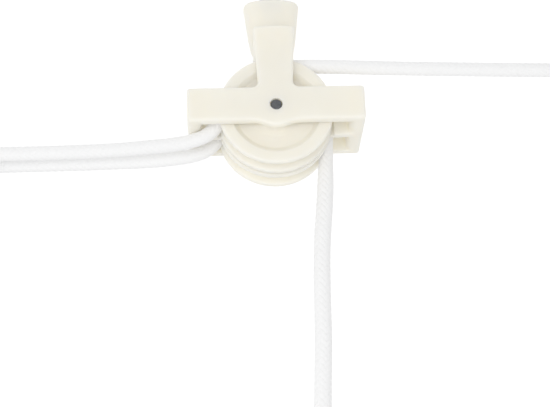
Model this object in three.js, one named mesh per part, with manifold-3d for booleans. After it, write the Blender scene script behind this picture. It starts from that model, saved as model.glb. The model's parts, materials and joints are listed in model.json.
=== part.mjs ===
// A two-sheave ceiling pulley block for a hoist-up clothes airer, with its two braided cords.
//
// Millimetres, +Z up. The origin is on the ceiling, in the middle of the block's head. X runs
// along the cords' level runs, and -Y is the side of the front plate. Everything below the
// ceiling is laid out from the axle's centre, in a group that hangs CEILING_TO_AXLE below it.

import * as THREE from 'three';
import { mergeVertices } from 'three/addons/utils/BufferGeometryUtils.js';
import Module from 'manifold-3d';

const wasm = await Module();
wasm.setup();

// ---------------------------------------------------------------- driving dimensions

const CEILING_TO_AXLE = 40.2;
const GAP = 0.3; // between pieces that touch

// The housing, one moulding: a frame round both sheaves, and two arms up to the head.
const FRAME_WIDTH = 53.8;
const FRAME_TOP_Z = 5.85;
const FRAME_BOTTOM_Z = -5.3;
const FRONT_PLATE = 3.0;
const REAR_PLATE = 2.5;
const END_WALL = 4.5;
const CENTRE_WALL = 1.0; // between the sheaves
const THICK_WALL = 2.4; // the same at its ends, beyond the sheaves' rims
const THICK_WALL_GAP = 0.4; // from there to the rims
const OUTER_EDGE = 0.8; // rounding of the moulding's outer edges
const CORNER = 1.0; // rounding of the frame's corners, seen from the front
const SLOT_MOUTH = 2.8; // rounding of the end walls where the cords leave
const SLOT_TOP = 0.6;
const BOSS_RADIUS = 7.1; // round the axle
const BOSS_FILLET = 12.0;

const ARM_ROOT = 5.35; // half widths of the arms
const ARM_TOP = 6.35;
const ARM_TOP_Z = 26.6;
const ARM_CROWN = 0.35; // rise of the arms' top edge at its middle
const ARM_FILLET = 1.8;
const ARM_CORNER = 1.0;
const BRIDGE_BOTTOM_Z = 20.4;
const BRIDGE_INSET = 0.25; // of the bridge's sides from the arms' sides
const BRIDGE_CORNER = 1.0;

// The head, an oval flare: [height above the axle, half width along X].
const HEAD_PROFILE = [
  [22.9, 5.65], [23.5, 6.35], [24.5, 6.75], [26.3, 7.15], [28.9, 7.55],
  [32.1, 7.92], [35.6, 8.31], [39, 8.72], [39.8, 8.82], [40.1, 8.74], [40.2, 8.55],
];
const HEAD_DEPTH_RATIO = 0.66; // depth along Y over width along X
const HEAD_SQUARENESS = 2.8; // of its oval, where 2 is an ellipse

const AXLE_RADIUS = 1.7;
const AXLE_HOLE = 1.9;
const AXLE_INSET = 0.5; // of each end below the housing's faces
const PAD_RADIUS = 5.6; // the pads inside the plates that the sheaves' hubs run against
const PAD_HEIGHT = 0.65;

// The sheaves: radii, and half widths along the axle.
const SHEAVE_RADIUS = 17.5;
const SHEAVE_HALF = 4.55;
const SHEAVE_BORE = 2.05;
const BORE_EDGE = 0.35;
const HUB_RADIUS = 5.6;
const HUB_SLOPE = 0.8; // width of the hub's sloping wall
const HUB_FILLET = 0.3;
const DISH_RADIUS = 13.8;
const DISH_SLOPE = 1.4; // width of the dish's sloping wall
const DISH_DEPTH = 1.6;
const GROOVE_BOTTOM = 13.5;
const GROOVE_HALF = 2.5;
const GROOVE_DIP = 1.5; // how much deeper the groove is at its middle than where it rounds off
const GROOVE_TAPER = 0.35; // how much each of the groove's walls leans in to its foot
const GROOVE_EDGE = 0.15;
const RIM_EDGE = 0.6;
const SHEAVE_SIDES = 36;

// The fixing screw and its plug.
const SCREW_RADIUS = 2.1;
const SCREW_HEAD = 4.2;
const SCREW_HEAD_HEIGHT = 2.1;
const CROSS_LENGTH = 4.0; // of the driver's cross in the head
const CROSS_WIDTH = 0.9;
const CROSS_DEPTH = 1.3;
const POINT_LENGTH = 5; // of the tapered ends of the screw and the shanks
const POINT_RADIUS = 0.3;
const SCREW_IN_CEILING = 32;
const SCREW_HOLE = 2.5;
const PLUG_RADIUS = 3.6;
const PLUG_LENGTH = 30;
const PLUG_COLLAR = 4.0;
const PLUG_TAPER = 0.8; // off its radius, over PLUG_TAPER_LENGTH at its top
const PLUG_TAPER_LENGTH = 6;
const COLLAR_HEIGHT = 1.2;
const HEAD_COUNTERBORE = 4.4; // radius, room for the plug's collar
const COUNTERBORE_DEPTH = 3.0;

// The cords.
const CORD_DIAMETER = 4.4;
const CORD_WRAP_RADIUS = 16.1; // from the axle to the cord's middle, on a sheave
const CORD_SIDES = 8;
const CORD_STEP = 5.6;

// The end fittings: wire eyes on shanks that screw into the ceiling.
const WIRE_RADIUS = 1.3;
const EYE_RADIUS = 4.4; // of the wire's middle
const LEFT_EYE_X = -93;
const RIGHT_EYE_X = 95;
const SHANK_IN_CEILING = 20;
const COLLAR_RADIUS = 5;
const KNOT_RADIUS = 5.2;
const KNOT_LENGTH = 11;

// ---------------------------------------------------------------- places worked out from them

const SLOT = PAD_HEIGHT + 2 * GAP + 2 * SHEAVE_HALF; // the room for one sheave
const DEPTH = FRONT_PLATE + 2 * SLOT + CENTRE_WALL + REAR_PLATE;
const FRONT_Y = -DEPTH / 2;
const REAR_Y = DEPTH / 2;
const FRONT_SLOT_Y = FRONT_Y + FRONT_PLATE;
const REAR_SLOT_Y = FRONT_SLOT_Y + SLOT + CENTRE_WALL;
const REAR_SLOT_END_Y = REAR_SLOT_Y + SLOT;
const FRONT_SHEAVE_Y = FRONT_SLOT_Y + PAD_HEIGHT + GAP + SHEAVE_HALF;
const REAR_SHEAVE_Y = REAR_SLOT_Y + GAP + SHEAVE_HALF;
const HALF_WIDTH = FRAME_WIDTH / 2;
const FRAME_HEIGHT = FRAME_TOP_Z - FRAME_BOTTOM_Z;
const FRAME_MIDDLE_Z = (FRAME_TOP_Z + FRAME_BOTTOM_Z) / 2;
const SLOT_END_X = HALF_WIDTH - END_WALL;

// ---------------------------------------------------------------- materials

function material(color, roughness, metalness) {
  return new THREE.MeshStandardMaterial({ color, roughness, metalness });
}

const creamPlastic = () => material('#efebdd', 0.42, 0);
const steel = () => material('#8d9298', 0.32, 1);
const plugNylon = () => material('#c9ccce', 0.5, 0);
const cordFibre = () => material('#f6f7f9', 0.85, 0);

// ---------------------------------------------------------------- making solids

function toSolid(geometry) {
  const bare = geometry.clone();
  bare.deleteAttribute('normal');
  bare.deleteAttribute('uv');
  const merged = mergeVertices(bare, 1e-4);
  return new wasm.Manifold(new wasm.Mesh({
    numProp: 3,
    vertProperties: new Float32Array(merged.attributes.position.array),
    triVerts: new Uint32Array(merged.index.array),
  }));
}

function toGeometry(manifold) {
  const mesh = manifold.getMesh();
  const geometry = new THREE.BufferGeometry();
  geometry.setAttribute('position', new THREE.BufferAttribute(mesh.vertProperties, 3));
  geometry.setIndex(new THREE.BufferAttribute(mesh.triVerts, 1));
  geometry.computeVertexNormals();
  return geometry;
}

const join = (geometries) => geometries.map(toSolid).reduce((whole, next) => whole.add(next));
const cut = (whole, tools) => tools.map(toSolid).reduce((left, next) => left.subtract(next), whole);

// An outline in X and Z made solid from y = front to y = front + thickness, with rounded rims.
function plate(outline, front, thickness, edge = 0) {
  const geometry = new THREE.ExtrudeGeometry(outline, {
    depth: thickness - 2 * edge,
    bevelEnabled: edge > 0,
    bevelThickness: edge,
    bevelSize: edge,
    bevelOffset: -edge,
    bevelSegments: 2,
    curveSegments: 3,
  });
  geometry.rotateX(Math.PI / 2);
  geometry.translate(0, front + thickness - edge, 0);
  return geometry;
}

// A solid of revolution about an axis along Y, from points of [radius, y].
function turnedAlongY(points, segments) {
  return new THREE.LatheGeometry(points.map(([r, y]) => new THREE.Vector2(r, y)), segments);
}

// The same about an axis along Z, from points of [radius, z].
function turnedAlongZ(points, segments) {
  return turnedAlongY(points, segments).rotateX(Math.PI / 2);
}

function rodAlongY(radius, from, to, segments = 24) {
  return turnedAlongY([[0, from], [radius, from], [radius, to], [0, to]], segments);
}

function roundedRectangle(halfWidth, halfHeight, radius) {
  const shape = new THREE.Shape();
  const x = halfWidth - radius;
  const z = halfHeight - radius;
  shape.moveTo(-x, -halfHeight);
  shape.absarc(x, -z, radius, -Math.PI / 2, 0);
  shape.absarc(x, z, radius, 0, Math.PI / 2);
  shape.absarc(-x, z, radius, Math.PI / 2, Math.PI);
  shape.absarc(-x, -z, radius, Math.PI, Math.PI * 1.5);
  return shape;
}

// A tube of the cords' or the wire's section along a curve.
function tube(curve, radius, sides, step) {
  const section = new THREE.Shape(
    Array.from({ length: sides }, (_, i) => {
      const angle = (i / sides) * Math.PI * 2;
      return new THREE.Vector2(radius * Math.cos(angle), radius * Math.sin(angle));
    }),
  );
  return new THREE.ExtrudeGeometry(section, {
    steps: Math.round(curve.getLength() / step),
    extrudePath: curve,
    bevelEnabled: false,
  });
}

// ---------------------------------------------------------------- housing

// The front and rear plates' outline: the bar, the boss below it and the arm above it.
function plateOutline() {
  const cornerX = HALF_WIDTH - CORNER;
  const filletZ = FRAME_BOTTOM_Z - BOSS_FILLET;
  const filletX = Math.sqrt((BOSS_RADIUS + BOSS_FILLET) ** 2 - filletZ ** 2);
  const meet = Math.atan2(-filletZ, filletX);
  const outline = new THREE.Shape();
  outline.moveTo(-cornerX, FRAME_BOTTOM_Z);
  outline.absarc(-filletX, filletZ, BOSS_FILLET, Math.PI / 2, meet, true);
  outline.absarc(0, 0, BOSS_RADIUS, meet - Math.PI, -meet);
  outline.absarc(filletX, filletZ, BOSS_FILLET, Math.PI - meet, Math.PI / 2, true);
  outline.absarc(cornerX, FRAME_BOTTOM_Z + CORNER, CORNER, -Math.PI / 2, 0);
  outline.absarc(cornerX, FRAME_TOP_Z - CORNER, CORNER, 0, Math.PI / 2);
  const rootX = ARM_ROOT + ARM_FILLET;
  const rootZ = FRAME_TOP_Z + ARM_FILLET;
  outline.absarc(rootX, rootZ, ARM_FILLET, -Math.PI / 2, -Math.PI, true);
  outline.absarc(ARM_TOP - ARM_CORNER, ARM_TOP_Z - ARM_CORNER, ARM_CORNER, 0, Math.PI / 2);
  outline.quadraticCurveTo(0, ARM_TOP_Z + 2 * ARM_CROWN, ARM_CORNER - ARM_TOP, ARM_TOP_Z);
  outline.absarc(ARM_CORNER - ARM_TOP, ARM_TOP_Z - ARM_CORNER, ARM_CORNER, Math.PI / 2, Math.PI);
  outline.absarc(-rootX, rootZ, ARM_FILLET, 0, -Math.PI / 2, true);
  outline.absarc(-cornerX, FRAME_TOP_Z - CORNER, CORNER, Math.PI / 2, Math.PI);
  outline.absarc(-cornerX, FRAME_BOTTOM_Z + CORNER, CORNER, Math.PI, Math.PI * 1.5);
  return outline;
}

// The way through the frame for one sheave and its cord, wider at its mouths.
function slotOutline() {
  const past = 2;
  const low = FRAME_BOTTOM_Z;
  const high = FRAME_TOP_Z;
  const mouth = SLOT_MOUTH;
  const outline = new THREE.Shape();
  outline.moveTo(-SLOT_END_X - mouth, low - past);
  outline.lineTo(SLOT_END_X + mouth, low - past);
  outline.absarc(SLOT_END_X + mouth, low + mouth, mouth, -Math.PI / 2, -Math.PI, true);
  outline.absarc(SLOT_END_X + SLOT_TOP, high - SLOT_TOP, SLOT_TOP, Math.PI, Math.PI / 2, true);
  outline.lineTo(SLOT_END_X + SLOT_TOP, high + past);
  outline.lineTo(-SLOT_END_X - SLOT_TOP, high + past);
  outline.absarc(-SLOT_END_X - SLOT_TOP, high - SLOT_TOP, SLOT_TOP, Math.PI / 2, 0, true);
  outline.absarc(-SLOT_END_X - mouth, low + mouth, mouth, 0, -Math.PI / 2, true);
  return outline;
}

// The block between the two arms' tops that carries the head.
function bridgeOutline() {
  const outline = new THREE.Shape();
  const half = ARM_TOP - BRIDGE_INSET;
  const round = BRIDGE_CORNER;
  outline.absarc(half - round, BRIDGE_BOTTOM_Z + round, round, -Math.PI / 2, 0);
  outline.absarc(half - round, ARM_TOP_Z - round, round, 0, Math.PI / 2);
  outline.absarc(round - half, ARM_TOP_Z - round, round, Math.PI / 2, Math.PI);
  outline.absarc(round - half, BRIDGE_BOTTOM_Z + round, round, Math.PI, Math.PI * 1.5);
  return outline;
}

// The flare is turned round, then pushed out into a squarish oval and narrowed along Y.
function flaredHead() {
  const bottom = HEAD_PROFILE[0][0];
  const points = HEAD_PROFILE.map(([height, half]) => [half, height]);
  const head = turnedAlongZ([[0, bottom], ...points, [0, CEILING_TO_AXLE]], 40);
  const position = head.attributes.position;
  const power = HEAD_SQUARENESS;
  for (let i = 0; i < position.count; i += 1) {
    const x = position.getX(i);
    const y = position.getY(i);
    const reach = Math.hypot(x, y);
    if (reach > 0) {
      const push = reach / (Math.abs(x) ** power + Math.abs(y) ** power) ** (1 / power);
      position.setXY(i, x * push, y * push * HEAD_DEPTH_RATIO);
    }
  }
  return head;
}

function screwHole() {
  const cone = SCREW_HEAD + 2 * GAP;
  return turnedAlongZ([
    [0, BRIDGE_BOTTOM_Z - 1],
    [cone, BRIDGE_BOTTOM_Z - 1],
    [cone, BRIDGE_BOTTOM_Z],
    [SCREW_HOLE, BRIDGE_BOTTOM_Z + cone - SCREW_HOLE],
    [SCREW_HOLE, CEILING_TO_AXLE - COUNTERBORE_DEPTH],
    [HEAD_COUNTERBORE, CEILING_TO_AXLE - COUNTERBORE_DEPTH],
    [HEAD_COUNTERBORE, CEILING_TO_AXLE + 1],
    [0, CEILING_TO_AXLE + 1],
  ], 24);
}

function housingGeometry() {
  const frame = roundedRectangle(HALF_WIDTH, FRAME_HEIGHT / 2, CORNER);
  const arms = plateOutline();
  const whole = join([
    plate(frame, FRONT_Y, DEPTH, OUTER_EDGE).translate(0, 0, FRAME_MIDDLE_Z),
    plate(arms, FRONT_Y, FRONT_PLATE, OUTER_EDGE),
    plate(arms, REAR_Y - REAR_PLATE, REAR_PLATE, OUTER_EDGE),
    plate(bridgeOutline(), FRONT_Y + GAP, DEPTH - 2 * GAP),
    flaredHead(),
  ]);
  const besideSheave = roundedRectangle(SHEAVE_RADIUS + THICK_WALL_GAP, FRAME_HEIGHT, CORNER);
  const slotted = cut(whole, [
    plate(slotOutline(), FRONT_SLOT_Y, SLOT + CENTRE_WALL - THICK_WALL),
    plate(besideSheave, FRONT_SLOT_Y, SLOT),
    plate(slotOutline(), REAR_SLOT_Y, SLOT),
  ]);
  const padded = slotted.add(join([
    rodAlongY(PAD_RADIUS, FRONT_Y + 1, FRONT_SLOT_Y + PAD_HEIGHT),
    rodAlongY(PAD_RADIUS, REAR_SLOT_END_Y - PAD_HEIGHT, REAR_Y - 1),
  ]));
  const open = cut(padded, [
    rodAlongY(AXLE_HOLE, FRONT_Y - 1, REAR_Y + 1),
    screwHole(),
  ]);
  return toGeometry(open);
}

// ---------------------------------------------------------------- sheaves, axle and fixing

function sheaveGeometry() {
  const floor = SHEAVE_HALF - DISH_DEPTH;
  const side = [
    [SHEAVE_BORE, SHEAVE_HALF - BORE_EDGE],
    [SHEAVE_BORE + BORE_EDGE, SHEAVE_HALF],
    [HUB_RADIUS, SHEAVE_HALF],
    [HUB_RADIUS + HUB_SLOPE, floor + HUB_FILLET],
    [HUB_RADIUS + HUB_SLOPE + 2 * HUB_FILLET, floor],
    [DISH_RADIUS - DISH_SLOPE, floor],
    [DISH_RADIUS, SHEAVE_HALF],
    [SHEAVE_RADIUS - RIM_EDGE, SHEAVE_HALF],
    [SHEAVE_RADIUS, SHEAVE_HALF - RIM_EDGE],
    [SHEAVE_RADIUS, GROOVE_HALF + GROOVE_EDGE],
    [SHEAVE_RADIUS - GROOVE_EDGE, GROOVE_HALF],
  ];
  const rounding = 6;
  const half = GROOVE_HALF - GROOVE_TAPER;
  const groove = Array.from({ length: rounding + 1 }, (_, i) => {
    const angle = (i / rounding) * Math.PI;
    return [GROOVE_BOTTOM + GROOVE_DIP * (1 - Math.sin(angle)), -half * Math.cos(angle)];
  });
  const frontSide = side.map(([r, y]) => [r, -y]);
  const profile = [...frontSide, ...groove, ...side.reverse()];
  return turnedAlongY([...profile, profile[0]], SHEAVE_SIDES);
}

function axleGeometry() {
  const end = REAR_Y - AXLE_INSET;
  const chamfer = 0.3;
  return turnedAlongY([
    [0, -end],
    [AXLE_RADIUS - chamfer, -end],
    [AXLE_RADIUS, chamfer - end],
    [AXLE_RADIUS, end - chamfer],
    [AXLE_RADIUS - chamfer, end],
    [0, end],
  ], 24);
}

// A countersunk screw, head down, through the head of the housing into its plug.
function screwGeometry() {
  const foot = BRIDGE_BOTTOM_Z + GAP;
  const tip = CEILING_TO_AXLE + SCREW_IN_CEILING;
  const blank = turnedAlongZ([
    [0, foot],
    [SCREW_HEAD, foot],
    [SCREW_RADIUS, foot + SCREW_HEAD_HEIGHT],
    [SCREW_RADIUS, tip - POINT_LENGTH],
    [POINT_RADIUS, tip],
    [0, tip],
  ], 20);
  const blades = [[CROSS_LENGTH, CROSS_WIDTH], [CROSS_WIDTH, CROSS_LENGTH]].map(([x, y]) => {
    return new THREE.BoxGeometry(x, y, 2 * CROSS_DEPTH).translate(0, 0, foot);
  });
  return toGeometry(cut(toSolid(blank), blades));
}

function plugGeometry() {
  const bore = SCREW_RADIUS + GAP;
  const base = CEILING_TO_AXLE - COLLAR_HEIGHT;
  const end = CEILING_TO_AXLE + PLUG_LENGTH;
  return turnedAlongZ([
    [bore, base],
    [PLUG_COLLAR, base],
    [PLUG_COLLAR, CEILING_TO_AXLE],
    [PLUG_RADIUS, CEILING_TO_AXLE],
    [PLUG_RADIUS, end - PLUG_TAPER_LENGTH],
    [PLUG_RADIUS - PLUG_TAPER, end],
    [bore, end],
    [bore, base],
  ], 20);
}

// ---------------------------------------------------------------- cords

// Both cords come level from the left, rise through the slots' left mouths and go over their
// sheaves. Points are [x, z] in the sheave's own middle plane.
const FRONT_CORD_LEFT = [
  [-94.3, -10.95], [-80, -11.05], [-65, -10.95], [-51, -10.6], [-37.5, -9.7],
  [-30.2, -8.95], [-25.5, -8.0], [-21.7, -6.5], [-19.1, -4.4], [-17.1, -1.3],
];
const REAR_CORD_LEFT = [
  [-94.3, -10.3], [-80, -10.25], [-66, -10.15], [-52, -10.0], [-38, -9.65],
  [-30.6, -8.95], [-26, -8.25], [-22, -6.85], [-19.1, -4.5], [-17.1, -1.3],
];
const FRONT_CORD_RIGHT = [
  [7.5, 16.5], [15, 16.4], [38, 15.35], [67, 14.3], [86, 13.7], [96.3, 13.45],
];
const REAR_CORD_DROP = [
  [15.9, -6], [15.4, -13.4], [14.8, -22], [14.15, -28.5], [13.5, -34.5], [13.05, -40],
  [12.6, -48], [12.3, -59], [12.0, -69], [11.65, -75.5], [11.2, -83], [10.8, -90.2],
];
const WRAP_START = 172; // degrees round the axle from +X, where a cord meets its sheave
const FRONT_WRAP_END = 88;
const REAR_WRAP_END = 0;
const WRAP_STEP = 12;

function cordCurve(y, arriving, wrapEnd, leaving) {
  const turns = Math.round((WRAP_START - wrapEnd) / WRAP_STEP);
  const wrap = Array.from({ length: turns + 1 }, (_, i) => {
    const angle = THREE.MathUtils.degToRad(WRAP_START - ((WRAP_START - wrapEnd) * i) / turns);
    return [CORD_WRAP_RADIUS * Math.cos(angle), CORD_WRAP_RADIUS * Math.sin(angle)];
  });
  const route = [...arriving, ...wrap, ...leaving];
  return new THREE.CatmullRomCurve3(route.map(([x, z]) => new THREE.Vector3(x, y, z)));
}

function cordGeometry(y, arriving, wrapEnd, leaving) {
  return tube(cordCurve(y, arriving, wrapEnd, leaving), CORD_DIAMETER / 2, CORD_SIDES, CORD_STEP);
}

// A stopper knot's outer shape, lying along Z about the origin.
function knotGeometry() {
  const half = KNOT_LENGTH / 2;
  return turnedAlongZ([
    [0, -half],
    [0.5 * KNOT_RADIUS, -half],
    [0.9 * KNOT_RADIUS, -0.6 * half],
    [KNOT_RADIUS, 0],
    [0.9 * KNOT_RADIUS, 0.6 * half],
    [0.5 * KNOT_RADIUS, half],
    [0, half],
  ], 14);
}

// ---------------------------------------------------------------- end fittings

// A wire eye round one or two cords that run along X, on a shank that screws into the ceiling.
// The eye's two rounded ends are `spread` apart along Y.
function eyeGeometry(centreZ, spread) {
  const segments = 20;
  const ring = new THREE.TorusGeometry(EYE_RADIUS, WIRE_RADIUS, 8, segments);
  ring.rotateZ(Math.PI / segments);
  const position = ring.attributes.position;
  for (let i = 0; i < position.count; i += 1) {
    position.setY(i, position.getY(i) + (Math.sign(position.getY(i)) * spread) / 2);
  }
  ring.rotateY(Math.PI / 2);
  ring.translate(0, 0, centreZ);
  const tip = CEILING_TO_AXLE + SHANK_IN_CEILING;
  const shank = turnedAlongZ([
    [0, centreZ + EYE_RADIUS],
    [WIRE_RADIUS, centreZ + EYE_RADIUS],
    [WIRE_RADIUS, CEILING_TO_AXLE - COLLAR_HEIGHT],
    [COLLAR_RADIUS, CEILING_TO_AXLE - COLLAR_HEIGHT],
    [COLLAR_RADIUS, CEILING_TO_AXLE],
    [SCREW_RADIUS, CEILING_TO_AXLE],
    [SCREW_RADIUS, tip - POINT_LENGTH],
    [POINT_RADIUS, tip],
    [0, tip],
  ], 16);
  return toGeometry(join([ring, shank]));
}

// ---------------------------------------------------------------- assembly

const belowCeiling = new THREE.Group();
belowCeiling.position.z = -CEILING_TO_AXLE;

function addPart(name, geometry, finish, position = [0, 0, 0], turnY = 0) {
  const mesh = new THREE.Mesh(geometry, finish);
  mesh.name = name;
  mesh.position.set(...position);
  mesh.rotation.y = turnY;
  belowCeiling.add(mesh);
}

addPart('pulley_housing', housingGeometry(), creamPlastic());
addPart('front_sheave', sheaveGeometry(), creamPlastic(), [0, FRONT_SHEAVE_Y, 0]);
addPart('rear_sheave', sheaveGeometry(), creamPlastic(), [0, REAR_SHEAVE_Y, 0]);
addPart('axle_pin', axleGeometry(), steel());
addPart('ceiling_screw', screwGeometry(), steel());
addPart('ceiling_plug', plugGeometry(), plugNylon());

const frontCord = cordGeometry(FRONT_SHEAVE_Y, FRONT_CORD_LEFT, FRONT_WRAP_END, FRONT_CORD_RIGHT);
const rearCord = cordGeometry(REAR_SHEAVE_Y, REAR_CORD_LEFT, REAR_WRAP_END, REAR_CORD_DROP);
addPart('front_cord', frontCord, cordFibre());
addPart('rear_cord', rearCord, cordFibre());

// Each knot sits just beyond its eye, or at the hanging end, a gap from the cord's solid.
const acrossX = Math.PI / 2;
const leftKnotX = FRONT_CORD_LEFT[0][0] - GAP - KNOT_LENGTH / 2;
const [rightEndX, rightEndZ] = FRONT_CORD_RIGHT.at(-1);
const [dropEndX, dropEndZ] = REAR_CORD_DROP.at(-1);
const knots = [
  ['front_cord_left_knot', [leftKnotX, FRONT_SHEAVE_Y, FRONT_CORD_LEFT[0][1]], acrossX],
  ['rear_cord_left_knot', [leftKnotX, REAR_SHEAVE_Y, REAR_CORD_LEFT[0][1]], acrossX],
  ['front_cord_right_knot', [rightEndX + GAP + KNOT_LENGTH / 2, FRONT_SHEAVE_Y, rightEndZ], acrossX],
  ['rear_cord_drop_knot', [dropEndX, REAR_SHEAVE_Y, dropEndZ - GAP - KNOT_LENGTH / 2], 0],
];
for (const [name, position, turnY] of knots) {
  addPart(name, knotGeometry(), cordFibre(), position, turnY);
}

const leftEyeZ = (FRONT_CORD_LEFT[0][1] + REAR_CORD_LEFT[0][1]) / 2;
const leftEyeY = (FRONT_SHEAVE_Y + REAR_SHEAVE_Y) / 2;
const leftEyeSpread = REAR_SHEAVE_Y - FRONT_SHEAVE_Y;
addPart('left_eye', eyeGeometry(leftEyeZ, leftEyeSpread), steel(), [LEFT_EYE_X, leftEyeY, 0]);
addPart('right_eye', eyeGeometry(rightEndZ, 0), steel(), [RIGHT_EYE_X, FRONT_SHEAVE_Y, 0]);

export default belowCeiling;
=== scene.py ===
"""A two-sheave ceiling pulley block with two braided cords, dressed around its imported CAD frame.

Lengths below are in millimetres unless a name says otherwise, and are turned into metres when a
mesh is made. Heights in the outlines of the block are above the axle, as in the CAD source.
"""

import json
import math

import bpy
import numpy as np
from mathutils import Matrix, Vector

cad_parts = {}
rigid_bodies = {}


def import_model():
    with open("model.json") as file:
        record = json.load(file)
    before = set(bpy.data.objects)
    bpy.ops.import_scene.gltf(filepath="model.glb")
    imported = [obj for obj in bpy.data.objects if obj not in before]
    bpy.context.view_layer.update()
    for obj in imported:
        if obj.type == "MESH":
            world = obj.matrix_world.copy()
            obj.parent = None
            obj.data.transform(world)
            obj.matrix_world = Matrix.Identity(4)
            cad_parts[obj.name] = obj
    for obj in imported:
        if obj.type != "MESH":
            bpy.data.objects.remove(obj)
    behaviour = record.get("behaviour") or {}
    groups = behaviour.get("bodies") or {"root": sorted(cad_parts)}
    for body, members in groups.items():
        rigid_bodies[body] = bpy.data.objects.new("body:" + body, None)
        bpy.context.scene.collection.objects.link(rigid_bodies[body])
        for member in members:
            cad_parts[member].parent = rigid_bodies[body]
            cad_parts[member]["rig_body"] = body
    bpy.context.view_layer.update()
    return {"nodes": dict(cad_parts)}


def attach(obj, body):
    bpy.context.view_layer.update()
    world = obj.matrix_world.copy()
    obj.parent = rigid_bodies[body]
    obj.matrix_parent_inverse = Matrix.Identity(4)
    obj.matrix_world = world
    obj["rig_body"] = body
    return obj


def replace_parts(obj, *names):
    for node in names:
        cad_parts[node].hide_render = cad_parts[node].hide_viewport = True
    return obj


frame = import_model()

MM = 0.001
AXLE_Z = -40.2
FRONT_Y = -5.1
REAR_Y = 5.6

# ---------------------------------------------------------------- camera

CAMERA_PLACE = (-17.9, -393.5, -224.0)
CAMERA_AZIMUTH = 2.46
CAMERA_ELEVATION = 21.71
CAMERA_ROLL = -2.2
CAMERA_LENS = 91.74


def make_camera():
    """The picture's own view: up at the block from below its front, a little rolled."""
    azimuth = math.radians(CAMERA_AZIMUTH)
    elevation = math.radians(CAMERA_ELEVATION)
    roll = math.radians(CAMERA_ROLL)
    forward = Vector((
        math.sin(azimuth) * math.cos(elevation),
        math.cos(azimuth) * math.cos(elevation),
        math.sin(elevation),
    ))
    level_right = forward.cross(Vector((0, 0, 1))).normalized()
    level_up = level_right.cross(forward)
    right = level_right * math.cos(roll) + level_up * math.sin(roll)
    up = level_up * math.cos(roll) - level_right * math.sin(roll)
    data = bpy.data.cameras.new("camera")
    data.lens = CAMERA_LENS
    data.sensor_width = 36
    data.clip_start = 0.01
    camera = bpy.data.objects.new("camera", data)
    rotation = Matrix((right, up, -forward)).transposed()
    camera.matrix_world = Matrix.Translation(Vector(CAMERA_PLACE) * MM) @ rotation.to_4x4()
    bpy.context.scene.collection.objects.link(camera)
    bpy.context.scene.camera = camera


# ---------------------------------------------------------------- shader helpers


def new_material(name):
    """A new material, its nodes, its links and its Principled shader."""
    material = bpy.data.materials.new(name)
    material.use_nodes = True
    nodes = material.node_tree.nodes
    return material, nodes, material.node_tree.links, nodes["Principled BSDF"]


def noise(nodes, links, vector, scale, detail=3.0, roughness=0.5):
    """A noise texture over the place given, as one grey value."""
    node = nodes.new("ShaderNodeTexNoise")
    node.inputs["Scale"].default_value = scale
    node.inputs["Detail"].default_value = detail
    node.inputs["Roughness"].default_value = roughness
    links.new(vector, node.inputs["Vector"])
    return node.outputs["Fac"]


def mapped(nodes, links, value, low, high, start=0.3, end=0.7):
    """A value carried from start..end to low..high, and held beyond both ends."""
    node = nodes.new("ShaderNodeMapRange")
    node.inputs["From Min"].default_value = start
    node.inputs["From Max"].default_value = end
    node.inputs["To Min"].default_value = low
    node.inputs["To Max"].default_value = high
    links.new(value, node.inputs["Value"])
    return node.outputs["Result"]


def colour_between(nodes, links, factor, dark, light):
    """The dark colour at factor 0, the light one at 1, and a mixture between."""
    node = nodes.new("ShaderNodeMix")
    node.data_type = "RGBA"
    node.inputs["A"].default_value = (*dark, 1)
    node.inputs["B"].default_value = (*light, 1)
    links.new(factor, node.inputs["Factor"])
    return node.outputs["Result"]


def bump(nodes, links, height, distance, strength, before=None):
    """A normal bent by a height, over one bent before it; distance is in millimetres."""
    node = nodes.new("ShaderNodeBump")
    node.inputs["Distance"].default_value = distance * MM
    node.inputs["Strength"].default_value = strength
    links.new(height, node.inputs["Height"])
    if before is not None:
        links.new(before, node.inputs["Normal"])
    return node.outputs["Normal"]


def object_place(nodes):
    """The place of a surface point in its own piece's coordinates, in metres."""
    return nodes.new("ShaderNodeTexCoord").outputs["Object"]


# ---------------------------------------------------------------- materials


def moulded_plastic(name, dark, light):
    """Satin injection-moulded polypropylene: slow colour drift, fine skin and faint flow marks."""
    material, nodes, links, shader = new_material(name)
    place = object_place(nodes)
    drift = noise(nodes, links, place, 90, 2)
    skin = noise(nodes, links, place, 2600, 2)
    flow = noise(nodes, links, place, 420, 4, 0.6)
    tone = mapped(nodes, links, drift, 0, 1)
    links.new(colour_between(nodes, links, tone, dark, light), shader.inputs["Base Color"])
    links.new(mapped(nodes, links, flow, 0.36, 0.5), shader.inputs["Roughness"])
    wave = bump(nodes, links, flow, 0.03, 0.25)
    links.new(bump(nodes, links, skin, 0.012, 0.35, wave), shader.inputs["Normal"])
    shader.inputs["IOR"].default_value = 1.49
    shader.inputs["Subsurface Weight"].default_value = 0.7
    shader.inputs["Subsurface Radius"].default_value = (1.0, 0.95, 0.83)
    shader.inputs["Subsurface Scale"].default_value = 3.6 * MM
    return material


def worn_steel(name, dark, light):
    """Dull plated steel with fine draw marks and small stains."""
    material, nodes, links, shader = new_material(name)
    place = object_place(nodes)
    stretch = nodes.new("ShaderNodeMapping")
    stretch.inputs["Scale"].default_value = (1, 1, 0.08)
    links.new(place, stretch.inputs["Vector"])
    marks = noise(nodes, links, stretch.outputs["Vector"], 5200, 2)
    stains = noise(nodes, links, place, 700, 4, 0.6)
    tone = mapped(nodes, links, stains, 0, 1)
    links.new(colour_between(nodes, links, tone, dark, light), shader.inputs["Base Color"])
    links.new(mapped(nodes, links, stains, 0.48, 0.3), shader.inputs["Roughness"])
    links.new(bump(nodes, links, marks, 0.02, 0.3), shader.inputs["Normal"])
    shader.inputs["Metallic"].default_value = 1
    return material


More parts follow.
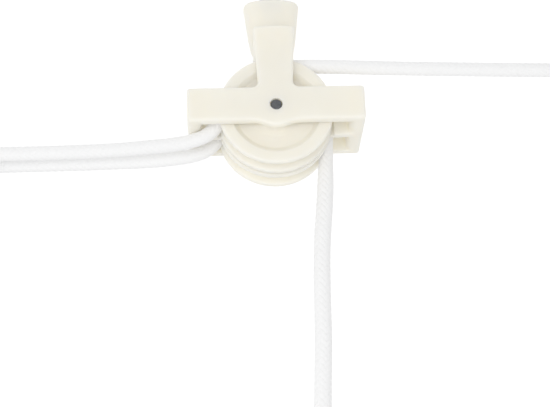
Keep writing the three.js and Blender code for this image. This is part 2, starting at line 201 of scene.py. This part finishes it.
def nylon(name, dark, light):
    """Dull nylon with a slow colour drift and a fine, dry skin."""
    material, nodes, links, shader = new_material(name)
    place = object_place(nodes)
    drift = noise(nodes, links, place, 160, 3)
    skin = noise(nodes, links, place, 1800, 3)
    tone = mapped(nodes, links, drift, 0, 1)
    links.new(colour_between(nodes, links, tone, dark, light), shader.inputs["Base Color"])
    links.new(mapped(nodes, links, skin, 0.45, 0.6), shader.inputs["Roughness"])
    links.new(bump(nodes, links, skin, 0.02, 0.4), shader.inputs["Normal"])
    return material


def braided_fibre(name, dark, light):
    """White polyester yarn, with painted shade in the valleys between strands and random soiling. The UV
    map runs across and along the strand that is on top.
    """
    material, nodes, links, shader = new_material(name)
    uv = nodes.new("ShaderNodeUVMap")
    uv.uv_map = "strand"
    stretch = nodes.new("ShaderNodeMapping")
    stretch.inputs["Scale"].default_value = (9, 0.9, 1)
    links.new(uv.outputs["UV"], stretch.inputs["Vector"])
    fibres = noise(nodes, links, stretch.outputs["Vector"], 1.6, 3, 0.6)
    # The braid's depth attribute, for painted shade in the valleys between strands.
    depth = nodes.new("ShaderNodeAttribute")
    depth.attribute_name = "depth"
    soiling = noise(nodes, links, object_place(nodes), 240, 3)
    # Painted valley shade times random soiling: 0 gives the dark colour, 1 the light one.
    valley_shade_and_soiling = nodes.new("ShaderNodeMath")
    valley_shade_and_soiling.operation = "MULTIPLY"
    links.new(mapped(nodes, links, depth.outputs["Fac"], 0, 1, 0.1, 0.75), valley_shade_and_soiling.inputs[0])
    links.new(mapped(nodes, links, soiling, 0.88, 1), valley_shade_and_soiling.inputs[1])
    links.new(colour_between(nodes, links, valley_shade_and_soiling.outputs[0], dark, light), shader.inputs["Base Color"])
    links.new(mapped(nodes, links, fibres, 0.75, 0.95), shader.inputs["Roughness"])
    links.new(bump(nodes, links, fibres, 0.05, 0.5), shader.inputs["Normal"])
    shader.inputs["Sheen Weight"].default_value = 0.25
    shader.inputs["Sheen Roughness"].default_value = 0.5
    shader.inputs["Specular IOR Level"].default_value = 0.3
    return material


CREAM = moulded_plastic("cream_plastic", (0.9, 0.854, 0.733), (0.925, 0.88, 0.76))
SHEAVE_CREAM = moulded_plastic("sheave_plastic", (0.9, 0.852, 0.733), (0.925, 0.878, 0.76))
DARK_STEEL = worn_steel("pin_steel", (0.07, 0.074, 0.082), (0.13, 0.137, 0.148))
PLATED_STEEL = worn_steel("plated_steel", (0.34, 0.35, 0.36), (0.5, 0.51, 0.51))
PLUG_NYLON = nylon("plug_nylon", (0.62, 0.63, 0.63), (0.71, 0.72, 0.72))
# The cord's dark colour is the painted shade in the braid's valleys and the random soiling.
CORD_WHITE = braided_fibre("cord_white", (0.88, 0.882, 0.886), (0.945, 0.947, 0.95))

# ---------------------------------------------------------------- mesh helpers


def signed_volume(mesh):
    """Six times the volume a mesh encloses, below zero if its faces point inwards."""
    mesh.calc_loop_triangles()
    points = np.empty(len(mesh.vertices) * 3)
    mesh.vertices.foreach_get("co", points)
    corners = np.empty(len(mesh.loop_triangles) * 3, np.int32)
    mesh.loop_triangles.foreach_get("vertices", corners)
    a, b, c = points.reshape(-1, 3)[corners].reshape(-1, 3, 3).transpose(1, 0, 2)
    return float(np.einsum("ij,ij->", a, np.cross(b, c)))


def add_mesh(name, points, faces, material, body, crease=None):
    """A smooth-shaded mesh from points in millimetres, riding on a body."""
    mesh = bpy.data.meshes.new(name)
    mesh.from_pydata((np.asarray(points, float) * MM).tolist(), [], faces)
    mesh.polygons.foreach_set("use_smooth", [True] * len(mesh.polygons))
    mesh.materials.append(material)
    mesh.update()
    if signed_volume(mesh) < 0:
        mesh.flip_normals()
    if crease is not None:
        mesh.set_sharp_from_angle(angle=math.radians(crease))
    piece = bpy.data.objects.new(name, mesh)
    bpy.context.scene.collection.objects.link(piece)
    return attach(piece, body)


def skin_faces(rings, sides, closed=False):
    """Quads over a grid of rings, and a last ring joined to the first if it is closed."""
    faces = []
    for ring in range(rings if closed else rings - 1):
        here = ring * sides
        there = (ring + 1) % rings * sides
        for side in range(sides):
            beside = (side + 1) % sides
            faces.append((here + side, here + beside, there + beside, there + side))
    return faces


def capped_tube(rings):
    """Points and faces of a closed tube over an array of rings, with a fan at each end."""
    count, sides = rings.shape[:2]
    faces = skin_faces(count, sides)
    first, last = count * sides, count * sides + 1
    end = (count - 1) * sides
    for side in range(sides):
        beside = (side + 1) % sides
        faces.append((first, beside, side))
        faces.append((last, end + side, end + beside))
    points = np.vstack([rings.reshape(-1, 3), rings[0].mean(0), rings[-1].mean(0)])
    return points, faces


def rounded(corners, radius, steps=5):
    """An outline with its inner corners replaced by arcs, or by shorter ones where it is tight."""
    corners = [np.array(c, float) for c in corners]
    outline = [corners[0]]
    for before, corner, after in zip(corners, corners[1:], corners[2:]):
        into, out = corner - before, after - corner
        into_length, out_length = np.linalg.norm(into), np.linalg.norm(out)
        into, out = into / into_length, out / out_length
        half_turn = math.acos(np.clip(into @ out, -1, 1)) / 2
        if half_turn < 0.02:
            outline.append(corner)
            continue
        reach = min(radius * math.tan(half_turn), 0.45 * into_length, 0.45 * out_length)
        start, stop = corner - into * reach, corner + out * reach
        for i in range(steps + 1):
            t = i / steps
            outline.append((1 - t) ** 2 * start + 2 * t * (1 - t) * corner + t**2 * stop)
    outline.append(corners[-1])
    return np.array(outline)


def turned(profile, segments, axis="Y"):
    """Rings of a solid of revolution about Y or Z, from points of (radius, place on the axis)."""
    angle = np.arange(segments) / segments * 2 * math.pi
    radius, place = profile[:, 0, None], profile[:, 1, None]
    across, up = radius * np.cos(angle), radius * np.sin(angle)
    along = np.broadcast_to(place, across.shape)
    order = (across, along, -up) if axis == "Y" else (across, up, along)
    return np.stack(order, -1)


SPAN_SAMPLES = 40


def smooth_route(points, step):
    """Points a step apart along a centripetal Catmull-Rom curve through the points given."""
    points = np.asarray(points, float)
    padded = np.vstack([2 * points[0] - points[1], points, 2 * points[-1] - points[-2]])
    fine = []
    for p0, p1, p2, p3 in zip(padded, padded[1:], padded[2:], padded[3:]):
        t1 = np.linalg.norm(p1 - p0) ** 0.5
        t2 = t1 + np.linalg.norm(p2 - p1) ** 0.5
        t3 = t2 + np.linalg.norm(p3 - p2) ** 0.5
        t = np.linspace(t1, t2, SPAN_SAMPLES, endpoint=False)[:, None]
        a1 = (t1 - t) / t1 * p0 + t / t1 * p1
        a2 = (t2 - t) / (t2 - t1) * p1 + (t - t1) / (t2 - t1) * p2
        a3 = (t3 - t) / (t3 - t2) * p2 + (t - t2) / (t3 - t2) * p3
        b1 = (t2 - t) / t2 * a1 + t / t2 * a2
        b2 = (t3 - t) / (t3 - t1) * a2 + (t - t1) / (t3 - t1) * a3
        fine.append((t2 - t) / (t2 - t1) * b1 + (t - t1) / (t2 - t1) * b2)
    fine = np.vstack([*fine, points[-1]])
    run = np.concatenate([[0], np.cumsum(np.linalg.norm(np.diff(fine, axis=0), axis=1))])
    places = np.linspace(0, run[-1], max(2, round(run[-1] / step)) + 1)
    return np.stack([np.interp(places, run, fine[:, i]) for i in range(3)], 1), places


def frames_along(line, first_side):
    """Two directions square to the line at each of its points, turning as little as they can."""
    heading = np.gradient(line, axis=0)
    heading /= np.linalg.norm(heading, axis=1)[:, None]
    side = np.zeros_like(line)
    current = np.asarray(first_side, float)
    for i, along in enumerate(heading):
        current = current - along * (current @ along)
        current /= np.linalg.norm(current)
        side[i] = current
    return side, np.cross(heading, side)


def rings_along(line, first_side, radius):
    """Rings of a tube whose radius is an array of rings by sides."""
    side, up = frames_along(line, first_side)
    angle = np.arange(radius.shape[1]) / radius.shape[1] * 2 * math.pi
    out = side[:, None] * np.cos(angle)[:, None] + up[:, None] * np.sin(angle)[:, None]
    return line[:, None] + out * radius[..., None]


# ---------------------------------------------------------------- braid

BRAID_STRANDS = 8  # that go round each way
BRAID_PITCH = 15.0
BRAID_RADIUS = 2.1  # of the cord that the pitch, rounding and lift here belong to
STRAND_HALF_WIDTH = 0.52  # of the spacing between strands
STRAND_ROUNDING = 0.2
STRAND_LIFT = 0.14


def strands_over(index, crossed, first):
    """1 where a strand passes over the one it crosses, 0 where under: two over and two under."""
    over = np.mod(index + crossed, 4) < 2
    return (over if first else ~over).astype(float)


def strand_family(across, along, first):
    """Height of the strands that go round one way, and the place across the nearest of them."""
    index = np.round(across)
    offset = across - index
    crown = np.sqrt(np.clip(1 - (offset / STRAND_HALF_WIDTH) ** 2, 0, 1))
    low = np.floor(along)
    blend = along - low
    blend = blend * blend * (3 - 2 * blend)
    here = strands_over(index, low, first)
    there = strands_over(index, low + 1, first)
    lift = here * (1 - blend) + there * blend
    return STRAND_ROUNDING * crown + STRAND_LIFT * lift, offset


def braid_surface(turn, along, scale):
    """Height above the braid's floor, and the place across and along the strand on top."""
    first = BRAID_STRANDS * (turn + along / (BRAID_PITCH * scale))
    second = BRAID_STRANDS * (turn - along / (BRAID_PITCH * scale))
    height_1, offset_1 = strand_family(first, second, True)
    height_2, offset_2 = strand_family(second, first, False)
    top = height_1 > height_2
    height = np.where(top, height_1, height_2) * scale
    return height, np.where(top, offset_1, offset_2), np.where(top, second, first)


def braided_cord(name, line, places, radius, sides, body, first_side):
    """A braided tube along a line. radius is its outer radius at each point of the line."""
    turn = np.arange(sides)[None] / sides
    full = STRAND_ROUNDING + STRAND_LIFT
    scale = float(np.mean(radius)) / BRAID_RADIUS
    height, across, along = braid_surface(turn, places[:, None], scale)
    surface = radius[:, None] - full * scale + height
    points, faces = capped_tube(rings_along(line, first_side, surface))
    piece = add_mesh(name, points, faces, CORD_WHITE, body)
    mesh = piece.data
    grid = np.stack([across, along], -1).reshape(-1, 2)
    uv_points = np.vstack([grid, [[0, 0], [0, 0]]])
    corner = np.empty(len(mesh.loops), np.int32)
    mesh.loops.foreach_get("vertex_index", corner)
    layer = mesh.uv_layers.new(name="strand")
    layer.data.foreach_set("uv", uv_points[corner].astype(np.float32).ravel())
    # Each point's height in the braid, 0 in the valleys and 1 on the crowns; the cord material paints
    # shade from it.
    depth = np.append((height / (full * scale)).ravel(), [0.5, 0.5])
    attribute = mesh.attributes.new("depth", "FLOAT", "POINT")
    attribute.data.foreach_set("value", depth.astype(np.float32))
    return piece


# ---------------------------------------------------------------- cords

WRAP_RADIUS = 16.1
WRAP_START = 172  # degrees round the axle from +X
FRONT_WRAP_END = 88
REAR_WRAP_END = 0
WRAP_STEP = 12
CORD_SIDES = 72
RING_STEP = 0.2

# The CAD source's routes: (x, height above the axle) in each sheave's middle plane, in metres.
FRONT_CORD_LEFT = [
    (-0.0943, -0.01095), (-0.080, -0.01105), (-0.065, -0.01095), (-0.051, -0.0106),
    (-0.0375, -0.0097), (-0.0302, -0.00895), (-0.0255, -0.0080), (-0.0217, -0.0065),
    (-0.0191, -0.0044), (-0.0171, -0.0013),
]
REAR_CORD_LEFT = [
    (-0.0943, -0.0103), (-0.080, -0.01025), (-0.066, -0.01015), (-0.052, -0.0100),
    (-0.038, -0.00965), (-0.0306, -0.00895), (-0.026, -0.00825), (-0.022, -0.00685),
    (-0.0191, -0.0045), (-0.0171, -0.0013),
]
FRONT_CORD_RIGHT = [
    (0.0075, 0.0165), (0.015, 0.0164), (0.038, 0.01535), (0.067, 0.0143), (0.086, 0.0137),
    (0.0963, 0.01345),
]
REAR_CORD_DROP = [
    (0.0159, -0.006), (0.0154, -0.0134), (0.0148, -0.022), (0.01415, -0.0285),
    (0.0135, -0.0345), (0.01305, -0.040), (0.0126, -0.048), (0.0123, -0.059),
    (0.0120, -0.069), (0.01165, -0.0755), (0.0112, -0.083), (0.0108, -0.0902),
]


def cord_route(y, arriving, wrap_end, leaving):
    """A cord's middle line and the run along it: level from the left, over its sheave, and away."""
    turns = round((WRAP_START - wrap_end) / WRAP_STEP)
    angles = [math.radians(WRAP_START - (WRAP_START - wrap_end) * i / turns) for i in range(turns + 1)]
    wrap = [(WRAP_RADIUS * math.cos(a), WRAP_RADIUS * math.sin(a)) for a in angles]
    ends = [[(x / MM, z / MM) for x, z in part] for part in (arriving, leaving)]
    route = [(x, y, z + AXLE_Z) for x, z in ends[0] + wrap + ends[1]]
    return smooth_route(route, RING_STEP)


def slow_wander(places, seed, length, amount):
    """A smooth random run along a cord, from -amount to amount."""
    random = np.random.default_rng(seed)
    knots = np.arange(0, places[-1] + 2 * length, length)
    return np.interp(places, knots, random.uniform(-amount, amount, len(knots)))


def make_cord(name, route, radius, seed, node):
    """A braided cord whose thickness drifts a little along it, in place of a CAD cord."""
    line, places = route
    drift = slow_wander(places, seed, 7, 0.012) + slow_wander(places, seed + 1, 2.5, 0.008)
    radius = radius * (1 + drift)
    piece = braided_cord(name, line, places, radius, CORD_SIDES, "block", (0, 1, 0))
    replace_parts(piece, node)
    return piece


def smooth_step(value, start, end):
    """0 up to start, 1 from end on, and a smooth rise between them."""
    t = np.clip((value - start) / (end - start), 0, 1)
    return t * t * (3 - 2 * t)


TAUT_RADIUS = 2.2
SLACK_RADIUS = 2.58  # where the rear cord hangs with no pull on it, its braid swells
SWELL_START = 6  # below the axle
SWELL_END = 22


# ---------------------------------------------------------------- stopper knots

KNOT_CORD_RADIUS = 1.74
KNOT_LENGTH = 11.0
KNOT_CORE_END = 5
KNOT_LEAD_ANGLE = 2.1  # radians, through which the cord climbs off the core
KNOT_TURNS = 2.1
KNOT_TURN_POINTS = 12
KNOT_GAP = 0.3  # between the cord's end and its knot
KNOT_SIDES = 48
KNOT_STEP = 0.25
KNOT_TAIL = [(5, -1.0, -1.3), (8, -1.5, -1.8), (11, -1.9, -2.1), (13.4, -2.2, -2.5)]


def knot_line():
    """A barrel knot's cord, along +X: straight core, spiral out, turns back, end tucked in."""
    coil = 2 * KNOT_CORD_RADIUS - 0.05
    far = KNOT_LENGTH - KNOT_CORD_RADIUS
    near = KNOT_CORD_RADIUS
    points = [(0, 0, 0), (2, 0, 0), (4, 0, 0)]
    for i in range(1, 8):
        t = i / 8
        angle = KNOT_LEAD_ANGLE * (1 - t)
        x = KNOT_CORE_END + (far - KNOT_CORE_END) * math.sin(t * math.pi / 2)
        points.append((x, coil * t * math.cos(angle), coil * t * math.sin(angle)))
    steps = round(KNOT_TURNS * KNOT_TURN_POINTS)
    for i in range(steps + 1):
        angle = -i / KNOT_TURN_POINTS * 2 * math.pi
        points.append((far + (near - far) * i / steps, coil * math.cos(angle), coil * math.sin(angle)))
    for i in range(1, 4):
        angle = -(steps + i) / KNOT_TURN_POINTS * 2 * math.pi
        reach = coil * (1 - 0.17 * i)
        points.append((near + 0.5 * i, reach * math.cos(angle), reach * math.sin(angle)))
    return smooth_route(points, KNOT_STEP)


def make_knot(cord, end, origin, direction):
    """A wound stopper knot and its tail, in place of a CAD knot, from its cord's end outwards."""
    turn = np.array(Vector((1, 0, 0)).rotation_difference(Vector(direction)).to_matrix())
    start = np.asarray(origin, float) + np.asarray(direction, float) * KNOT_GAP
    parts = {"knot_winding": knot_line(), "knot_tail": smooth_route(KNOT_TAIL, KNOT_STEP)}
    made = []
    for part, (line, places) in parts.items():
        name = f"{cord}_{end}_{part}"
        radius = np.full(len(line), KNOT_CORD_RADIUS)
        laid = line @ turn.T + start
        side = turn @ (0, 1, 0)
        made.append(braided_cord(name, laid, places, radius, KNOT_SIDES, "block", side))
    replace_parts(made[0], f"{cord}_{end}_knot")
    return made


# ---------------------------------------------------------------- both cords


def make_cords():
    """Both cords with the knots at their ends, the rear one swelling where it hangs slack."""
    front = cord_route(FRONT_Y, FRONT_CORD_LEFT, FRONT_WRAP_END, FRONT_CORD_RIGHT)
    rear = cord_route(REAR_Y, REAR_CORD_LEFT, REAR_WRAP_END, REAR_CORD_DROP)
    front_knots = make_knot("front_cord", "left", front[0][0], (-1, 0, 0))
    front_knots += make_knot("front_cord", "right", front[0][-1], (1, 0, 0))
    rear_knots = make_knot("rear_cord", "left", rear[0][0], (-1, 0, 0))
    rear_knots += make_knot("rear_cord", "drop", rear[0][-1], (0, 0, -1))
    taut = np.full(len(front[0]), TAUT_RADIUS)
    below = -rear[0][:, 2] + AXLE_Z
    hanging = (rear[0][:, 0] > 0) * smooth_step(below, SWELL_START, SWELL_END)
    slack = TAUT_RADIUS + (SLACK_RADIUS - TAUT_RADIUS) * hanging
    make_cord("front_cord_braid", front, taut, 11, "front_cord")
    make_cord("rear_cord_braid", rear, slack, 23, "rear_cord")


# ---------------------------------------------------------------- housing


def soft_moulding(name, node, voxel, rounds, material):
    """A CAD node's shape with the soft edges of a moulding, in its place."""
    mould = bpy.data.objects.new(name + "_mould", frame["nodes"][node].data.copy())
    bpy.context.scene.collection.objects.link(mould)
    remesh = mould.modifiers.new("remesh", "REMESH")
    remesh.mode = "VOXEL"
    remesh.voxel_size = voxel * MM
    smooth = mould.modifiers.new("smooth", "SMOOTH")
    smooth.factor = 0.5
    smooth.iterations = rounds
    bpy.context.view_layer.update()
    settled = mould.evaluated_get(bpy.context.evaluated_depsgraph_get())
    mesh = bpy.data.meshes.new_from_object(settled)
    bpy.data.objects.remove(mould)
    mesh.materials.clear()
    mesh.materials.append(material)
    mesh.polygons.foreach_set("material_index", [0] * len(mesh.polygons))
    mesh.polygons.foreach_set("use_smooth", [True] * len(mesh.polygons))
    mesh.update()
    piece = bpy.data.objects.new(name, mesh)
    bpy.context.scene.collection.objects.link(piece)
    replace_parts(piece, node)
    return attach(piece, frame["nodes"][node]["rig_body"])


# ---------------------------------------------------------------- sheaves and axle

# One side of a sheave's section, from its bore to the foot of its groove: (radius, half width).
SHEAVE_SIDE = [
    (2.05, 4.2), (2.4, 4.55), (5.6, 4.55), (6.4, 3.2), (8.5, 2.95), (12.3, 2.9), (13.85, 4.55),
    (17.5, 4.55), (17.5, 2.5), (15.0, 2.15), (13.55, 1.2),
]
SHEAVE_ROUNDING = 0.8
SHEAVE_SEGMENTS = 144


def make_sheave(name, node, y, body):
    """A grooved wheel with a dished web and a hub, turned from one closed outline."""
    side = [np.array(p) for p in SHEAVE_SIDE]
    mirrored = [p * (1, -1) for p in side[::-1]]
    middle = side[0] * (1, 0)
    outline = rounded([middle, *side, *mirrored, middle], SHEAVE_ROUNDING)[:-1]
    rings = turned(outline, SHEAVE_SEGMENTS)
    faces = skin_faces(len(outline), SHEAVE_SEGMENTS, closed=True)
    points = rings.reshape(-1, 3) + (0, y, AXLE_Z)
    piece = add_mesh(name, points, faces, SHEAVE_CREAM, body)
    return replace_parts(piece, node)


PIN_RADIUS = 1.7
PIN_END = 13.1  # from the middle of the housing
PIN_CHAMFER = 0.25


def make_pin():
    """The steel pin through both sheaves, chamfered at both ends."""
    inner = PIN_RADIUS - PIN_CHAMFER
    shoulder = PIN_END - PIN_CHAMFER
    near_half = [(0.05, -PIN_END), (inner, -PIN_END), (PIN_RADIUS, -shoulder)]
    far_half = [(PIN_RADIUS, shoulder), (inner, PIN_END), (0.05, PIN_END)]
    outline = rounded(near_half + far_half, 0.15)
    points, faces = capped_tube(turned(outline, 64))
    piece = add_mesh("pin_turned", points + (0, 0, AXLE_Z), faces, DARK_STEEL, "block")
    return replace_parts(piece, "axle_pin")


# ---------------------------------------------------------------- what goes into the ceiling

THREAD_PITCH = 1.8
THREAD_CORE = 1.55
THREAD_CREST = 2.08
THREAD_HALF_WIDTH = 0.22  # of the pitch
THREAD_RING_STEP = 0.12


def threaded_shank(name, place, start, stop, taper):
    """A wood screw's thread about Z from start to stop, tapering over its last stretch."""
    sides = 48
    heights = np.arange(start, stop, THREAD_RING_STEP)
    turn = np.arange(sides) / sides
    phase = np.mod(heights[:, None] / THREAD_PITCH - turn[None], 1)
    ridge = np.clip(1 - np.abs(phase - 0.5) / THREAD_HALF_WIDTH, 0, 1)
    fade = smooth_step(heights, start, start + 1.2) * smooth_step(-heights, -stop, -stop + 0.6)
    radius = THREAD_CORE + (THREAD_CREST - THREAD_CORE) * ridge * fade[:, None]
    radius *= np.clip((stop + 0.25 - heights) / taper, 0, 1)[:, None] ** 0.6
    angle = turn * 2 * math.pi
    height = np.broadcast_to(heights[:, None], radius.shape)
    rings = np.stack([radius * np.cos(angle), radius * np.sin(angle), height], -1)
    points, faces = capped_tube(rings)
    return add_mesh(name, points + place, faces, PLATED_STEEL, "block")


SCREW_FOOT = -19.5  # the screw head's underside, a gap above the bridge's
SCREW_HEAD = 4.2
SCREW_NECK = 2.1
SCREW_TIP = 32.0
CROSS_DEPTH = 1.3
CROSS_HALF_WIDTH = (0.42, 0.6)  # at the recess's floor and at its mouth
CROSS_REACH = (1.6, 2.05)


def make_screw():
    """A countersunk screw, head down, with a cross recess in its head."""
    sides = 96
    angle = np.arange(sides) / sides * 2 * math.pi
    rings = []
    for reach in np.linspace(0.08, SCREW_HEAD - 0.15, 34):
        x, y = reach * np.cos(angle), reach * np.sin(angle)
        narrow, wide = np.minimum(abs(x), abs(y)), np.maximum(abs(x), abs(y))
        across = smooth_step(-narrow, -CROSS_HALF_WIDTH[1], -CROSS_HALF_WIDTH[0])
        recess = across * smooth_step(-wide, -CROSS_REACH[1], -CROSS_REACH[0])
        rings.append(np.stack([x, y, SCREW_FOOT + CROSS_DEPTH * recess], -1))
    edge = [(SCREW_HEAD - 0.15, SCREW_FOOT), (SCREW_HEAD, SCREW_FOOT + 0.2)]
    neck = [(SCREW_NECK, SCREW_FOOT + 2.3), (SCREW_NECK, -4.5), (1.6, -4.0)]
    flank = rounded(edge + neck, 0.2)[1:]
    rings = np.concatenate([np.array(rings), turned(flank, sides, "Z")])
    points, faces = capped_tube(rings)
    head = add_mesh("screw_head_and_neck", points, faces, PLATED_STEEL, "block")
    threaded_shank("screw_thread", (0, 0, 0), start=-5.0, stop=SCREW_TIP, taper=6)
    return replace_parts(head, "ceiling_screw")


PLUG_RADIUS = 3.25
PLUG_BORE = 2.42
PLUG_FOOT = 0.4  # where the ribs start, above the collar
PLUG_LENGTH = 30.0
RIB_PITCH = 2.4
RIB_HEIGHT = 0.33
SPLIT_DEPTH = 0.7
# The collar's section, from the bore out and up to the ribs: (radius, height).
PLUG_COLLAR = [
    (PLUG_BORE, -1.2), (4.0, -1.2), (4.0, 0.0), (3.4, 0.15), (PLUG_RADIUS, PLUG_FOOT),
]


def make_plug():
    """A ribbed nylon plug with a collar, split lengthwise in four."""
    sides = 96
    angle = np.arange(sides) / sides * 2 * math.pi
    heights = np.arange(PLUG_FOOT, PLUG_LENGTH + 0.01, 0.2)
    rib = np.mod(heights, RIB_PITCH) / RIB_PITCH
    body = PLUG_RADIUS + RIB_HEIGHT * np.clip(rib * 1.6, 0, 1) * (rib < 0.92)
    body -= 0.75 * smooth_step(heights, 24, PLUG_LENGTH)
    slot = smooth_step(-abs(np.sin(2 * angle)), -0.22, -0.1)
    split = slot[None] * smooth_step(heights, 5, 6)[:, None]
    outer = body[:, None] - SPLIT_DEPTH * split
    collar = rounded(PLUG_COLLAR, 0.25)
    bore = np.array([(PLUG_BORE, PLUG_LENGTH), (PLUG_BORE, PLUG_LENGTH / 2)])
    height = np.broadcast_to(heights[:, None], outer.shape)
    wall = np.stack([outer * np.cos(angle), outer * np.sin(angle), height], -1)
    rings = np.concatenate([turned(collar, sides, "Z"), wall, turned(bore, sides, "Z")])
    faces = skin_faces(len(rings), sides, closed=True)
    piece = add_mesh("plug_ribbed", rings.reshape(-1, 3), faces, PLUG_NYLON, "block")
    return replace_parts(piece, "ceiling_plug")


# ---------------------------------------------------------------- guide eyes

WIRE_RADIUS = 1.3
EYE_RADIUS = 4.4
EYE_BEND = 2.0
THREAD_LENGTH = 20.0
THREAD_TAPER = 5
LEFT_EYE_X = -93
RIGHT_EYE_X = 95
LEFT_EYE_HEIGHT = -10.625  # above the axle, midway between the two cords
RIGHT_EYE_HEIGHT = 13.45
SHANK_TOP = -1.0
# An eye's collar, its flat top against the ceiling: (radius, height).
EYE_COLLAR = [(0.05, -1.2), (2.4, -1.2), (4.7, -0.7), (5.0, -0.35), (5.0, 0), (0.05, 0)]


def eye_line(spread):
    """The wire's middle in Y and Z about the eye's centre, from its bend round to its end."""
    flat = spread > 0
    lift = EYE_RADIUS + EYE_BEND if flat else math.sqrt(EYE_RADIUS**2 + 2 * EYE_RADIUS * EYE_BEND)
    sweep = 90 if flat else math.degrees(math.acos(EYE_BEND / (EYE_RADIUS + EYE_BEND)))
    bend = [math.radians(180 + sweep * i / 6) for i in range(7)]
    line = [(EYE_BEND + EYE_BEND * math.cos(a), lift + EYE_BEND * math.sin(a)) for a in bend]
    for side, first, last in ((1, sweep, -90), (-1, -90, -270 if flat else -263)):
        steps = round(abs(last - first) / 15)
        for i in range(steps + 1):
            angle = math.radians(first + (last - first) * i / steps)
            line.append((side * spread / 2 + EYE_RADIUS * math.cos(angle), EYE_RADIUS * math.sin(angle)))
    if flat:
        line.append((-WIRE_RADIUS - 0.2, EYE_RADIUS))
    return [p for p, q in zip(line, line[1:]) if math.dist(p, q) > 0.05] + [line[-1]], lift


def make_eye(name, node, x, y, centre, spread):
    """A wire eye about the height `centre`, with its collar under the ceiling and its thread."""
    ring, lift = eye_line(spread)
    shank = [(0, z - centre) for z in np.linspace(SHANK_TOP, centre + lift + 1.5, 6)]
    line, _ = smooth_route([(x, y + across, centre + up) for across, up in shank + ring], 0.35)
    radius = np.full((len(line), 28), WIRE_RADIUS)
    radius[-1] -= 0.35  # the wire's rounded end
    radius[-2] -= 0.1
    points, faces = capped_tube(rings_along(line, (1, 0, 0), radius))
    wire = add_mesh(name + "_wire", points, faces, PLATED_STEEL, "block")
    points, faces = capped_tube(turned(rounded(EYE_COLLAR, 0.3), 64, "Z"))
    add_mesh(name + "_collar", points + (x, y, 0), faces, PLATED_STEEL, "block", 40)
    threaded_shank(name + "_thread", (x, y, 0), -0.5, THREAD_LENGTH, THREAD_TAPER)
    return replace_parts(wire, node)


# ---------------------------------------------------------------- stage and light

FLOOR_DEPTH = 1.4  # metres below the ceiling
FLOOR_HALF = 9  # metres


def make_floor():
    """A plain pale floor far below the ceiling."""
    material, nodes, links, shader = new_material("floor_pale")
    grain = noise(nodes, links, object_place(nodes), 3, 3)
    tone = mapped(nodes, links, grain, 0, 1)
    colour = colour_between(nodes, links, tone, (0.76, 0.76, 0.755), (0.8, 0.8, 0.8))
    links.new(colour, shader.inputs["Base Color"])
    shader.inputs["Roughness"].default_value = 0.8
    mesh = bpy.data.meshes.new("floor")
    signs = [(-1, -1), (1, -1), (1, 1), (-1, 1)]
    corners = [(x * FLOOR_HALF, y * FLOOR_HALF, -FLOOR_DEPTH) for x, y in signs]
    mesh.from_pydata(corners, [], [(0, 1, 2, 3)])
    mesh.materials.append(material)
    floor = bpy.data.objects.new("floor", mesh)
    bpy.context.scene.collection.objects.link(floor)


def make_world():
    """A white surround, brighter behind and above the object than on the viewer's side."""
    world = bpy.data.worlds.new("surround")
    world.use_nodes = True
    nodes, links = world.node_tree.nodes, world.node_tree.links
    split = nodes.new("ShaderNodeSeparateXYZ")
    links.new(nodes.new("ShaderNodeTexCoord").outputs["Generated"], split.inputs["Vector"])
    behind_and_above = nodes.new("ShaderNodeMath")
    behind_and_above.operation = "MULTIPLY_ADD"
    links.new(split.outputs["Z"], behind_and_above.inputs[0])
    behind_and_above.inputs[1].default_value = 0.8
    links.new(split.outputs["Y"], behind_and_above.inputs[2])
    strength = mapped(nodes, links, behind_and_above.outputs[0], 0.45, 1.1, -0.4, 0.8)
    links.new(strength, nodes["Background"].inputs["Strength"])
    nodes["Background"].inputs["Color"].default_value = (1, 1, 1, 1)
    bpy.context.scene.world = world


def add_softbox(name, place, target, size, power):
    """A round soft light; its place, its target and its size are in metres."""
    data = bpy.data.lights.new(name, "AREA")
    data.shape = "DISK"
    data.size = size
    data.energy = power
    light = bpy.data.objects.new(name, data)
    light.location = Vector(place)
    light.rotation_mode = "QUATERNION"
    light.rotation_quaternion = (Vector(target) - Vector(place)).to_track_quat("-Z", "Y")
    bpy.context.scene.collection.objects.link(light)


# ---------------------------------------------------------------- the scene

make_camera()
make_cords()
soft_moulding(
    "housing_moulding", "pulley_housing", voxel=0.3, rounds=4, material=CREAM
)
make_sheave("front_sheave_wheel", "front_sheave", FRONT_Y, "front_wheel")
make_sheave("rear_sheave_wheel", "rear_sheave", REAR_Y, "rear_wheel")
make_pin()
make_screw()
make_plug()
eye_spread = REAR_Y - FRONT_Y
eye_middle = (FRONT_Y + REAR_Y) / 2
left_height, right_height = AXLE_Z + LEFT_EYE_HEIGHT, AXLE_Z + RIGHT_EYE_HEIGHT
make_eye("left_guide_eye", "left_eye", LEFT_EYE_X, eye_middle, left_height, eye_spread)
make_eye("right_guide_eye", "right_eye", RIGHT_EYE_X, FRONT_Y, right_height, 0)

make_floor()
make_world()
axle = Vector((0, 0, AXLE_Z)) * MM
add_softbox("key_softbox", (-0.5, -0.72, -0.3), axle, size=0.5, power=1.2)
add_softbox("viewer_softbox", (-0.05, -0.65, -0.3), axle, size=0.5, power=1.24)
bpy.context.scene.view_settings.view_transform = "Standard"
bpy.context.scene.view_settings.gamma = 1.4
